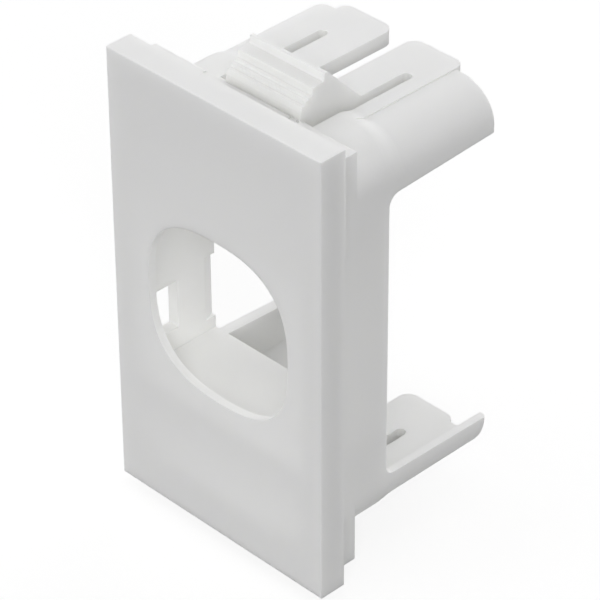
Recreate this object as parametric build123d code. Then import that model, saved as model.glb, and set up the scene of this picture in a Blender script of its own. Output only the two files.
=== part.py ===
from build123d import *
import os
from math import cos, pi, sin

# Wall plate: one white moulding that snaps into a wall frame and carries one device.
# Millimetres. X runs across the face, Y runs into the wall, Z runs up.
# Shapes are drawn about the plate's middle, with Y = 0 at the front face.

# Face plate
plate_width = 25.4
plate_height = 45.0
plate_depth = 2.8
plate_edge_radius = 0.1
face_wall = 0.8

# Device opening, a square with bulging sides
opening_width = 17.1
opening_height = 16.7
opening_roundness = 2.65
opening_x = 0.2
opening_z = 0.47
opening_points = 32

# Collar behind the face
collar_left = -12.7
collar_right = 11.3
collar_top = 20.4
collar_bottom = -22.0
collar_depth = 2.8
collar_edge_radius = 0.1
pit_places = (-6.37, 3.73, 4.65)
pit_radius = 0.16
pit_depth = 0.3
pit_inset = 0.25

# Sleeve behind the opening
sleeve_width = 22.6
side_wall = 1.2
sleeve_rear = 9.4
slab_thickness = 1.2
slab_reach = 10.22

# Spring arms, above and below
arm_height = 19.5
arm_thickness = 1.4
arm_half_width = 7.05
arm_rear = 22.8
arm_inner_radius = 1.2
arm_outer_radius = 0.9
arm_root_rise = 0.4
arm_root_end = 9.2
arm_root_ease = 1.8

# Quarter-round shoulders beside each arm
shoulder_radius = 3.7
shoulder_root_radius = 4.18
shoulder_wall = 0.8
shoulder_rear = 22.3
shoulder_lean = 0.28
shoulder_drop = 0.15
shoulder_end_radius = 0.45
blend_sections = 7

# Cuts in the arms
slot_inner_x = 4.5
slot_width = 1.0
slot_front = 6.25
slot_tip = 18.3
gap_width = 2.3
gap_start = 12.6

# Side windows between the arms, seen from the side
notch_upper_front = 14.25
notch_upper_rear = 14.87
notch_lower_front = -14.98
notch_lower_rear = -15.29
notch_upper_radius = 1.2
notch_lower_radius = 1.0

# Guard wall on the left, a higher lower edge for that window
guard_front = -11.25
guard_rear = -11.93

# Catch on each arm: corners of its ribbed front, as depth behind the collar and height over the arm
catch_left = -4.3
catch_right = 4.5
catch_corners = ((0.05, 0.0), (0.25, 1.38), (0.48, 1.87), (0.79, 1.90), (0.85, 2.20), (1.20, 2.26),
                 (1.27, 2.42), (1.58, 2.50), (1.66, 3.18), (2.92, 3.25))
catch_peak_front = 3.04
catch_peak_rear = 3.40
catch_rise = 4.02
catch_back_end = 12.9

# Latch window and lead-in in the left wall, and the relief outside the window
window_low = -7.5
window_high = -2.5
window_front = 2.4
window_length = 2.45
ramp_low = -8.5
ramp_high = -1.7
ramp_length = 1.25
ramp_depth = 0.5
relief_low = -9.4
relief_high = -1.6

# Working clearances and overlaps
over = 1.0
sink = 0.3

# Derived places
half_width = plate_width / 2
half_height = plate_height / 2
half_sleeve = sleeve_width / 2
collar_rear = plate_depth + collar_depth
cavity_x = half_sleeve - side_wall
cavity_z = arm_height - arm_thickness
cavity_radius = shoulder_radius - side_wall
shoulder_top = arm_height - shoulder_drop
shoulder_x = half_sleeve - shoulder_radius
shoulder_z = shoulder_top - shoulder_radius
root_top = arm_height + arm_root_rise
root_ease_end = arm_root_end + arm_root_ease
catch_peak = arm_height + catch_rise


def front_face(y):
    """Plane across the part at depth y, seen from the front."""
    return Plane(origin=(0, y, 0), x_dir=(1, 0, 0), z_dir=(0, -1, 0))


def side_face(x):
    """Plane along the part at x: its first axis is depth, its second is height."""
    return Plane(origin=(x, 0, 0), x_dir=(0, 1, 0), z_dir=(1, 0, 0))


def across(sketch, y_front, y_rear):
    """Pushes a front-view sketch from one depth to another."""
    return extrude(front_face(y_front) * sketch, amount=y_front - y_rear)


def along(sketch, x_left, x_right):
    """Pushes a side-view sketch from one x to another."""
    return extrude(side_face(x_left) * sketch, amount=x_right - x_left)


def panel(x_left, x_right, z_low, z_high):
    """Front-view rectangle between two sides."""
    middle = Pos((x_left + x_right) / 2, (z_low + z_high) / 2)
    return middle * Rectangle(x_right - x_left, z_high - z_low)


def outline(*corners):
    """Closed straight-sided sketch."""
    return make_face(Polyline(*corners, close=True))


def rounded_rear(sketch, y_rear, x_place, radius):
    """Rounds the rear corners of a plan sketch that lie at plus and minus x_place."""
    corners = [v for v in sketch.vertices() if abs(v.Y - y_rear) < sink and abs(abs(v.X) - x_place) < sink]
    return fillet(corners, radius)


def opening_outline():
    """Superellipse through evenly turned points."""
    power = 2 / opening_roundness
    points = []
    for step in range(opening_points):
        turn = 2 * pi * (step + 0.5) / opening_points
        across_part = abs(cos(turn)) ** power * (1 if cos(turn) > 0 else -1)
        up_part = abs(sin(turn)) ** power * (1 if sin(turn) > 0 else -1)
        points.append((across_part * opening_width / 2, up_part * opening_height / 2))
    return Pos(opening_x, opening_z) * make_face(Spline(*points, periodic=True))


def face_plate():
    """Flat front plate with a softened front outline."""
    plate = across(Rectangle(plate_width, plate_height), 0, plate_depth)
    return fillet(plate.edges().group_by(Axis.Y)[0], plate_edge_radius)


def collar():
    """Step behind the plate, lower at the bottom than the arms."""
    step = panel(collar_left, collar_right, collar_bottom, collar_top)
    block = across(step, plate_depth - sink, collar_rear)
    block = fillet(block.edges().group_by(Axis.Y)[-1], collar_edge_radius)
    pit = Pos(0, collar_rear - pit_inset, collar_top) * Cylinder(pit_radius, 2 * pit_depth)
    for place in pit_places:
        block = block - Pos(place, 0, 0) * pit
    return block


def cavity_outline():
    """Inside of the sleeve."""
    return RectangleRounded(2 * cavity_x, 2 * cavity_z, cavity_radius)


def sleeve():
    """Closed walls as far as the sleeve's rear edge."""
    skin = RectangleRounded(sleeve_width, 2 * shoulder_top, shoulder_radius)
    return across(skin - cavity_outline(), plate_depth, sleeve_rear)


def corner_section(y, top, radius):
    """Upper right quarter of the part's section at depth y."""
    inner_x = slot_inner_x + slot_width
    bow = CenterArc((half_sleeve - radius, top - radius), radius, 0, 90)
    rest = Polyline((half_sleeve - radius, top), (inner_x, top), (inner_x, 0), (half_sleeve, 0),
                    (half_sleeve, top - radius))
    return front_face(y) * make_face([bow, rest])


def corner_hollow():
    """Space inside that quarter, which leaves the wall thin at the side and thick by the arm."""
    bow = EllipticalCenterArc((shoulder_x, shoulder_z), shoulder_radius - shoulder_wall,
                              cavity_z - shoulder_z, start_angle=0, arc_size=90)
    rest = Polyline((shoulder_x, cavity_z), (0, cavity_z), (0, -over), (half_sleeve - shoulder_wall, -over),
                    (half_sleeve - shoulder_wall, shoulder_z))
    return across(make_face([bow, rest]), 0, shoulder_rear + over)


def shoulder_rear_part():
    """Level length of the rounded corner, with a leaning and softened end."""
    length = root_ease_end - shoulder_rear
    rear = extrude(corner_section(root_ease_end, shoulder_top, shoulder_radius), amount=length)
    reach = shoulder_rear + over
    lean = outline((shoulder_rear, shoulder_z), (shoulder_rear - shoulder_lean, shoulder_top),
                   (shoulder_rear - shoulder_lean, shoulder_top + over), (reach, shoulder_top + over),
                   (reach, shoulder_z))
    rear = rear - along(lean, 0, half_width)
    end = [e for e in rear.edges() if e.center().Y > shoulder_rear - shoulder_lean - sink]
    outside = [e for e in end if e.center().X > arm_half_width and e.center().Z > sink]
    outside = [e for e in outside if e.bounding_box().size.Y < shoulder_lean + sink]
    outside = [e for e in outside if abs(e.center().Z - shoulder_z) > sink]
    return fillet(outside, shoulder_end_radius)


def shoulder():
    """Thin rounded corner beside the arm, fuller at its root."""
    front = corner_section(plate_depth, root_top, shoulder_root_radius)
    root = extrude(front, amount=plate_depth - arm_root_end)
    sections = []
    for step in range(blend_sections):
        part = step / (blend_sections - 1)
        ease = part * part * (3 - 2 * part)
        top = root_top + (shoulder_top - root_top) * ease
        radius = shoulder_root_radius + (shoulder_radius - shoulder_root_radius) * ease
        sections.append(corner_section(arm_root_end + part * arm_root_ease, top, radius))
    return root + loft(sections) + shoulder_rear_part() - corner_hollow()


def arm_plan():
    """Arm seen from above: two tongues at the rear, joined in front."""
    plan = Pos(0, (plate_depth + arm_rear) / 2) * Rectangle(2 * arm_half_width, arm_rear - plate_depth)
    gap = Pos(0, (gap_start + arm_rear + over) / 2) * Rectangle(gap_width, arm_rear + over - gap_start)
    plan = plan - gap
    plan = rounded_rear(plan, arm_rear, gap_width / 2, arm_inner_radius)
    return rounded_rear(plan, arm_rear, arm_half_width, arm_outer_radius)


def arm_side():
    """Arm seen from the side: thicker at its root, then level."""
    ease = Spline((arm_root_end, root_top), (root_ease_end, arm_height), tangents=[(1, 0), (1, 0)])
    rest = Polyline((root_ease_end, arm_height), (arm_rear, arm_height), (arm_rear, cavity_z),
                    (plate_depth, cavity_z), (plate_depth, root_top), (arm_root_end, root_top))
    return make_face([ease, rest])


def arm():
    """Upper spring arm."""
    tall = extrude(arm_plan(), amount=half_height)
    return tall & along(arm_side(), -half_width, half_width)


def catch():
    """Ribbed wedge that snaps behind the wall frame's edge."""
    corners = [(collar_rear - sink, cavity_z), (collar_rear - sink, arm_height)]
    for depth, height in catch_corners:
        corners.append((collar_rear + depth, arm_height + height))
    corners.append((collar_rear + catch_peak_front, catch_peak))
    corners.append((collar_rear + catch_peak_rear, catch_peak))
    corners.append((catch_back_end, arm_height))
    corners.append((catch_back_end, cavity_z))
    return along(outline(*corners), catch_left, catch_right)


def arm_slots():
    """Slots beside the catch that let it spring."""
    middle = slot_inner_x + slot_width / 2
    tip = slot_tip - slot_width / 2
    slot = Pos(middle, (slot_front + tip) / 2) * Rectangle(slot_width, tip - slot_front)
    slot = slot + Pos(middle, tip) * Circle(slot_width / 2)
    pair = slot + mirror(slot, Plane.YZ)
    return Pos(0, 0, cavity_z - over) * extrude(pair, amount=half_height)


def upper_arm():
    """Arm, catch and both shoulders of the upper side."""
    side = shoulder()
    return arm() + catch() + side + mirror(side, Plane.YZ)


def side_notch(lower_front, lower_rear):
    """Opening between the arms as seen from the side."""
    upper_slope = (notch_upper_rear - notch_upper_front) / (shoulder_rear - sleeve_rear)
    lower_slope = (lower_rear - lower_front) / (shoulder_rear - sleeve_rear)
    reach = shoulder_rear + over
    notch = outline((sleeve_rear, lower_front), (reach, lower_rear + lower_slope * over),
                    (reach, notch_upper_rear + upper_slope * over), (sleeve_rear, notch_upper_front))
    front = [v for v in notch.vertices() if abs(v.X - sleeve_rear) < sink]
    notch = fillet([v for v in front if v.Y > 0], notch_upper_radius)
    front = [v for v in notch.vertices() if abs(v.X - sleeve_rear) < sink and v.Y < 0]
    return fillet(min(front, key=lambda v: v.Y), notch_lower_radius)


def guard_wall():
    """Stiffer wall low on the left, back to the end of the shoulders."""
    wall = outline((sleeve_rear - over, -shoulder_z), (shoulder_rear - shoulder_end_radius, -shoulder_z),
                   (shoulder_rear - shoulder_end_radius, 0), (sleeve_rear - over, 0))
    return along(wall, -half_sleeve, -cavity_x)


def slab(z_inner, direction):
    """Level wall of the sleeve above or below the opening."""
    z_outer = z_inner + direction * slab_thickness
    sheet = panel(-cavity_x - sink, cavity_x + sink, min(z_inner, z_outer), max(z_inner, z_outer))
    return across(sheet, face_wall - sink, sleeve_rear)


def lead_in():
    """Sloped relief at the rear inner edge of the left wall."""
    rear = sleeve_rear + over
    slope = ramp_depth / ramp_length
    wedge = outline((-cavity_x, sleeve_rear - ramp_length), (-cavity_x - ramp_depth - slope * over, rear),
                    (-cavity_x + over, rear), (-cavity_x + over, sleeve_rear - ramp_length))
    return Pos(0, 0, ramp_low) * extrude(wedge, amount=ramp_high - ramp_low)


def latch_window():
    """Window through the left wall, just behind the plate, with the relief outside it."""
    hole = panel(collar_left - over, -cavity_x + over, window_low, window_high)
    hole = across(hole, window_front, window_front + window_length)
    relief = panel(collar_left - over, -half_sleeve, relief_low, relief_high)
    return hole + across(relief, plate_depth, collar_rear + over)


def wall_plate():
    """The whole moulding, with the middle of its box's bottom at the origin."""
    upper = upper_arm()
    body = face_plate() + collar() + sleeve() + upper + mirror(upper, Plane.XY)
    body = body - arm_slots() - mirror(arm_slots(), Plane.XY)
    body = body - across(cavity_outline(), face_wall, sleeve_rear)
    right_notch = along(side_notch(notch_lower_front, notch_lower_rear), cavity_x - over, half_sleeve + over)
    left_notch = along(side_notch(guard_front, guard_rear), -half_sleeve - over, -cavity_x + over)
    body = body - right_notch + guard_wall() - left_notch
    body = body + slab(opening_z - slab_reach, -1) + slab(opening_z + slab_reach, 1)
    body = body - lead_in() - latch_window()
    body = body - across(opening_outline(), -over, face_wall + sink)
    return Pos(0, -arm_rear / 2, catch_peak) * body


os.makedirs("parts", exist_ok=True)
whole = wall_plate()
whole.label = "wall_plate"
export_step(whole, "parts/wall_plate.step")
print("solids", len(whole.solids()), "volume", round(whole.volume, 1))
box = whole.bounding_box()
print("low", box.min, "high", box.max, "valid", whole.is_valid)
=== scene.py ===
import bmesh
import bpy
from math import radians
from mathutils import Matrix, Vector


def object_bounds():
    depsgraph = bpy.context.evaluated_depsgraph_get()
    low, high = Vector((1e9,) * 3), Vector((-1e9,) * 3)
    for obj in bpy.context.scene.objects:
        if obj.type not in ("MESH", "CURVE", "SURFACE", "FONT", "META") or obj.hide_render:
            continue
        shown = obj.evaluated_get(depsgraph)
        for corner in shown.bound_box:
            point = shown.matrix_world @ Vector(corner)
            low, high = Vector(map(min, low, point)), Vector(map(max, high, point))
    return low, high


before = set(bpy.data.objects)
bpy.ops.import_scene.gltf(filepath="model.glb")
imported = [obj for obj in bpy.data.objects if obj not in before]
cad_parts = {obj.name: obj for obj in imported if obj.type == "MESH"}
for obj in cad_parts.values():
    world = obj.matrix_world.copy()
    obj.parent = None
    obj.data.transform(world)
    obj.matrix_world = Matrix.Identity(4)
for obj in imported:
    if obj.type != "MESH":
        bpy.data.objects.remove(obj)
CAD_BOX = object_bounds()

bl_info = {
    "name": "Snap-in wall plate",
    "version": (1, 0, 0),
    "blender": (4, 5, 0),
    "location": "View3D > Sidebar > Wall plate",
    "description": "Dresses a one-piece moulded wall plate and sets up its studio",
    "category": "Object",
}

MM = 0.001
MOULDING = "wall_plate"
LOW, HIGH = CAD_BOX

# Lower left corner of the front face, which stands half-way up the box because both catches reach past it
FACE_HEIGHT = 45 * MM
FACE_CORNER = Vector((LOW[0], LOW[1], (LOW[2] + HIGH[2] - FACE_HEIGHT) / 2))

# Camera fitted to the photo's straight edges, placed from that corner
CAMERA_RIGHT = (0.7071, 0.7071, 0.0)
CAMERA_UP = (-0.4082, 0.4082, 0.8165)
CAMERA_BACK = (0.5774, -0.5774, 0.5774)
CAMERA_FROM_CORNER = Vector((185.94 * MM, -160.06 * MM, 192.34 * MM))
CLIP_NEAR = 10 * MM
CLIP_FAR = 10.0
SENSOR_WIDTH = 36.0
PICTURE_WIDTH = 600
PICTURE_CENTRE = (325.2, 297.2)

# Soft lamps: name, where each stands as seen from the part, its width in degrees, its strength
LAMPS = (
    ("overhead", (0.0, 0.0, 1.0), 70, 0.63),
    ("left", (-1.0, 0.0, 0.35), 70, 0.94),
    ("front_left", (-0.5, -0.8, 0.3), 40, 0.80),
    ("key", (0.577, -0.577, 0.577), 25, 0.75),
    ("right", (0.8, -0.5, 0.3), 25, 0.58),
    ("back_left", (-0.6, 0.8, 0.1), 40, 0.28),
    ("back", (0.0, 1.0, 0.35), 70, 1.28),
    ("back_low", (0.0, 0.97, 0.2), 40, 0.27),
)

# Floor: half its width in metres, how much of its white glows by itself so that the shadow stays faint,
# how much is lit, and the grey from which light bounces back to the part
FLOOR_HALF = 0.6
FLOOR_GLOW = 0.82
FLOOR_PAPER = 0.25
FLOOR_BOUNCE = "#B0B0B0"

# White ABS: its IOR, and how far red, green and blue travel under the skin, as shares of the scatter depth
ABS_IOR = 1.54
SCATTER_SHARES = (1.0, 1.0, 0.97)

# Finer steps in the grain's noise, and how strong each is beside the one before
GRAIN_DETAIL = 3.0
GRAIN_FALL = 0.6


def linear(hex_colour):
    """Linear RGBA from an sRGB hex colour."""
    channels = [int(hex_colour[i:i + 2], 16) / 255 for i in (1, 3, 5)]
    return [c / 12.92 if c <= 0.04045 else ((c + 0.055) / 1.055) ** 2.4 for c in channels] + [1.0]


def grey(level):
    """Opaque grey of one linear level."""
    return [level, level, level, 1.0]


class WallPlateFinish(bpy.types.PropertyGroup):
    """What a user would change on the moulding."""

    plastic: bpy.props.StringProperty(
        name="Plastic colour", description="sRGB colour of the moulded plastic", default="#F9F9F6")
    drift: bpy.props.FloatProperty(
        name="Colour drift", description="How far the colour drifts over the moulding",
        default=0.012, min=0.0, max=0.1)
    drift_length: bpy.props.FloatProperty(
        name="Drift length", description="Length over which the colour drifts",
        default=9 * MM, min=1 * MM, max=50 * MM, unit="LENGTH")
    grain: bpy.props.FloatProperty(
        name="Spark grain", description="Spacing of the spark-eroded grain, coarse enough to show",
        default=0.35 * MM, min=0.05 * MM, max=2 * MM, unit="LENGTH")
    grain_depth: bpy.props.FloatProperty(
        name="Grain depth", description="Height of the grain",
        default=0.004 * MM, min=0.0, max=0.1 * MM, unit="LENGTH")
    roughness: bpy.props.FloatProperty(
        name="Roughness", description="Roughness of the satin moulded surface",
        default=0.5, min=0.0, max=1.0)
    roughness_spread: bpy.props.FloatProperty(
        name="Roughness spread", description="How far the grain changes the roughness, both ways",
        default=0.05, min=0.0, max=0.3)
    scatter: bpy.props.FloatProperty(
        name="Scatter depth", description="How far light travels under the skin of the white plastic",
        default=1.0 * MM, min=0.0, max=10 * MM, unit="LENGTH")


class StudioSettings(bpy.types.PropertyGroup):
    """Light and camera."""

    light: bpy.props.FloatProperty(
        name="Light", description="Factor on the strength of every lamp", default=1.0, min=0.0)
    lens: bpy.props.FloatProperty(
        name="Lens", description="Focal length for the 36 mm sensor, in millimetres",
        default=205.02, min=1.0)


def new_nodes(owner):
    """Empty node tree of a material or world."""
    owner.use_nodes = True
    owner.node_tree.nodes.clear()
    return owner.node_tree


def add(tree, kind, settings=None, inputs=None):
    """Adds a node with its settings, and with its inputs as values or links."""
    node = tree.nodes.new(kind)
    for name, value in (settings or {}).items():
        setattr(node, name, value)
    for name, value in (inputs or {}).items():
        if isinstance(value, bpy.types.NodeSocket):
            tree.links.new(value, node.inputs[name])
        else:
            node.inputs[name].default_value = value
    return node


def backdrop_ray(tree):
    """Socket that is 1 for camera, glossy and transmission rays, which see the plain white studio."""
    ray = add(tree, "ShaderNodeLightPath")
    seen = add(tree, "ShaderNodeMath", {"operation": "MAXIMUM"}, {
        0: ray.outputs["Is Camera Ray"], 1: ray.outputs["Is Glossy Ray"]})
    seen = add(tree, "ShaderNodeMath", {"operation": "MAXIMUM"}, {
        0: seen.outputs["Value"], 1: ray.outputs["Is Transmission Ray"]})
    return seen.outputs["Value"]


def moulded_abs(finish):
    """White ABS from a spark-eroded mould: satin with fine grain, soft edges from the light inside it."""
    material = bpy.data.materials.new("white_moulded_abs")
    tree = new_nodes(material)
    place = add(tree, "ShaderNodeTexCoord").outputs["Object"]
    drift = add(tree, "ShaderNodeTexNoise", inputs={"Vector": place, "Scale": 1 / finish.drift_length})
    clean = linear(finish.plastic)
    dull = [channel * (1 - finish.drift) for channel in clean[:3]] + [1.0]
    colour = add(tree, "ShaderNodeMix", {"data_type": "RGBA"}, {
        0: drift.outputs["Fac"], 6: clean, 7: dull})
    grain = add(tree, "ShaderNodeTexNoise", inputs={
        "Vector": place, "Scale": 1 / finish.grain, "Detail": GRAIN_DETAIL, "Roughness": GRAIN_FALL})
    bump = add(tree, "ShaderNodeBump", inputs={
        "Height": grain.outputs["Fac"], "Distance": finish.grain_depth, "Strength": 1.0})
    satin = add(tree, "ShaderNodeMapRange", inputs={
        "Value": grain.outputs["Fac"], "To Min": finish.roughness - finish.roughness_spread,
        "To Max": finish.roughness + finish.roughness_spread})
    shader = add(tree, "ShaderNodeBsdfPrincipled", inputs={
        "Base Color": colour.outputs[2], "Roughness": satin.outputs["Result"], "IOR": ABS_IOR,
        "Subsurface Weight": 1.0, "Subsurface Radius": SCATTER_SHARES,
        "Subsurface Scale": finish.scatter, "Normal": bump.outputs["Normal"]})
    add(tree, "ShaderNodeOutputMaterial", inputs={"Surface": shader.outputs["BSDF"]})
    return material


def white_paper():
    """Matt white paper: it glows a little for the eye, and its lit part takes the shadow."""
    material = bpy.data.materials.new("white_paper")
    tree = new_nodes(material)
    glow = add(tree, "ShaderNodeEmission", inputs={"Color": grey(1.0), "Strength": FLOOR_GLOW})
    paper = add(tree, "ShaderNodeBsdfDiffuse", inputs={"Color": grey(FLOOR_PAPER)})
    seen = add(tree, "ShaderNodeAddShader", inputs={0: glow.outputs[0], 1: paper.outputs[0]})
    bounce = add(tree, "ShaderNodeBsdfDiffuse", inputs={"Color": linear(FLOOR_BOUNCE)})
    mix = add(tree, "ShaderNodeMixShader", inputs={
        0: backdrop_ray(tree), 1: bounce.outputs[0], 2: seen.outputs[0]})
    add(tree, "ShaderNodeOutputMaterial", inputs={"Surface": mix.outputs[0]})
    return material


def make_floor(scene):
    """Plain pale floor under the part."""
    shape = bmesh.new()
    bmesh.ops.create_grid(shape, x_segments=1, y_segments=1, size=FLOOR_HALF,
                          matrix=Matrix.Translation((0, 0, LOW[2])))
    mesh = bpy.data.meshes.new("floor")
    shape.to_mesh(mesh)
    shape.free()
    mesh.materials.append(white_paper())
    floor = bpy.data.objects.new("floor", mesh)
    scene.collection.objects.link(floor)


def make_surround(scene):
    """White surround for the eye and for reflections. The lamps alone light the part."""
    world = bpy.data.worlds.new("studio")
    scene.world = world
    tree = new_nodes(world)
    white = add(tree, "ShaderNodeBackground", inputs={"Color": grey(1.0), "Strength": 1.0})
    dark = add(tree, "ShaderNodeBackground", inputs={"Color": grey(1.0), "Strength": 0.0})
    mix = add(tree, "ShaderNodeMixShader", inputs={
        0: backdrop_ray(tree), 1: dark.outputs[0], 2: white.outputs[0]})
    add(tree, "ShaderNodeOutputWorld", inputs={"Surface": mix.outputs[0]})


def make_lamps(scene, studio):
    """Wide soft lamps, far from the part."""
    for name, place, width, strength in LAMPS:
        lamp = bpy.data.lights.new(name, "SUN")
        lamp.angle = radians(width)
        lamp.energy = strength * studio.light
        holder = bpy.data.objects.new(name, lamp)
        holder.rotation_euler = Vector(place).to_track_quat("Z", "Y").to_euler()
        scene.collection.objects.link(holder)


def make_camera(scene, studio):
    """Long lens from above the front right, set where the picture was taken from."""
    camera = bpy.data.cameras.new("camera")
    camera.lens = studio.lens
    camera.sensor_width = SENSOR_WIDTH
    camera.shift_x = 0.5 - PICTURE_CENTRE[0] / PICTURE_WIDTH
    camera.shift_y = PICTURE_CENTRE[1] / PICTURE_WIDTH - 0.5
    camera.clip_start = CLIP_NEAR
    camera.clip_end = CLIP_FAR
    holder = bpy.data.objects.new("camera", camera)
    turn = Matrix((CAMERA_RIGHT, CAMERA_UP, CAMERA_BACK)).transposed().to_4x4()
    holder.matrix_world = Matrix.Translation(FACE_CORNER + CAMERA_FROM_CORNER) @ turn
    scene.collection.objects.link(holder)
    scene.camera = holder


class OBJECT_OT_dress_moulding(bpy.types.Operator):
    """Gives the moulding its plastic."""

    bl_idname = "wall_plate.dress_moulding"
    bl_label = "Dress the moulding"

    def execute(self, context):
        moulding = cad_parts[MOULDING]
        moulding.data.materials.clear()
        moulding.data.materials.append(moulded_abs(context.scene.wall_plate_finish))
        return {"FINISHED"}


class OBJECT_OT_set_stage(bpy.types.Operator):
    """Makes the floor, the white surround, the lamps and the camera."""

    bl_idname = "wall_plate.set_stage"
    bl_label = "Set the stage"

    def execute(self, context):
        studio = context.scene.wall_plate_studio
        make_floor(context.scene)
        make_surround(context.scene)
        make_lamps(context.scene, studio)
        make_camera(context.scene, studio)
        context.scene.view_settings.view_transform = "Standard"
        return {"FINISHED"}


class VIEW3D_PT_wall_plate(bpy.types.Panel):
    """Sidebar panel that lists the steps and their settings."""

    bl_label = "Wall plate"
    bl_idname = "VIEW3D_PT_wall_plate"
    bl_space_type = "VIEW_3D"
    bl_region_type = "UI"
    bl_category = "Wall plate"

    def draw(self, context):
        for step in STEPS:
            self.layout.operator(step.bl_idname)
        for settings in (context.scene.wall_plate_finish, context.scene.wall_plate_studio):
            for name in settings.bl_rna.properties.keys():
                if name not in ("rna_type", "name"):
                    self.layout.prop(settings, name)


STEPS = (OBJECT_OT_dress_moulding, OBJECT_OT_set_stage)
CLASSES = (WallPlateFinish, StudioSettings, *STEPS, VIEW3D_PT_wall_plate)


def register():
    """Registers the classes and puts both groups of settings on the scene."""
    for cls in CLASSES:
        bpy.utils.register_class(cls)
    bpy.types.Scene.wall_plate_finish = bpy.props.PointerProperty(type=WallPlateFinish)
    bpy.types.Scene.wall_plate_studio = bpy.props.PointerProperty(type=StudioSettings)


def unregister():
    """Takes away what register added."""
    del bpy.types.Scene.wall_plate_studio
    del bpy.types.Scene.wall_plate_finish
    for cls in reversed(CLASSES):
        bpy.utils.unregister_class(cls)


def main():
    """Builds everything in order."""
    register()
    bpy.ops.wall_plate.dress_moulding()
    bpy.ops.wall_plate.set_stage()


if __name__ == "__main__":
    main()
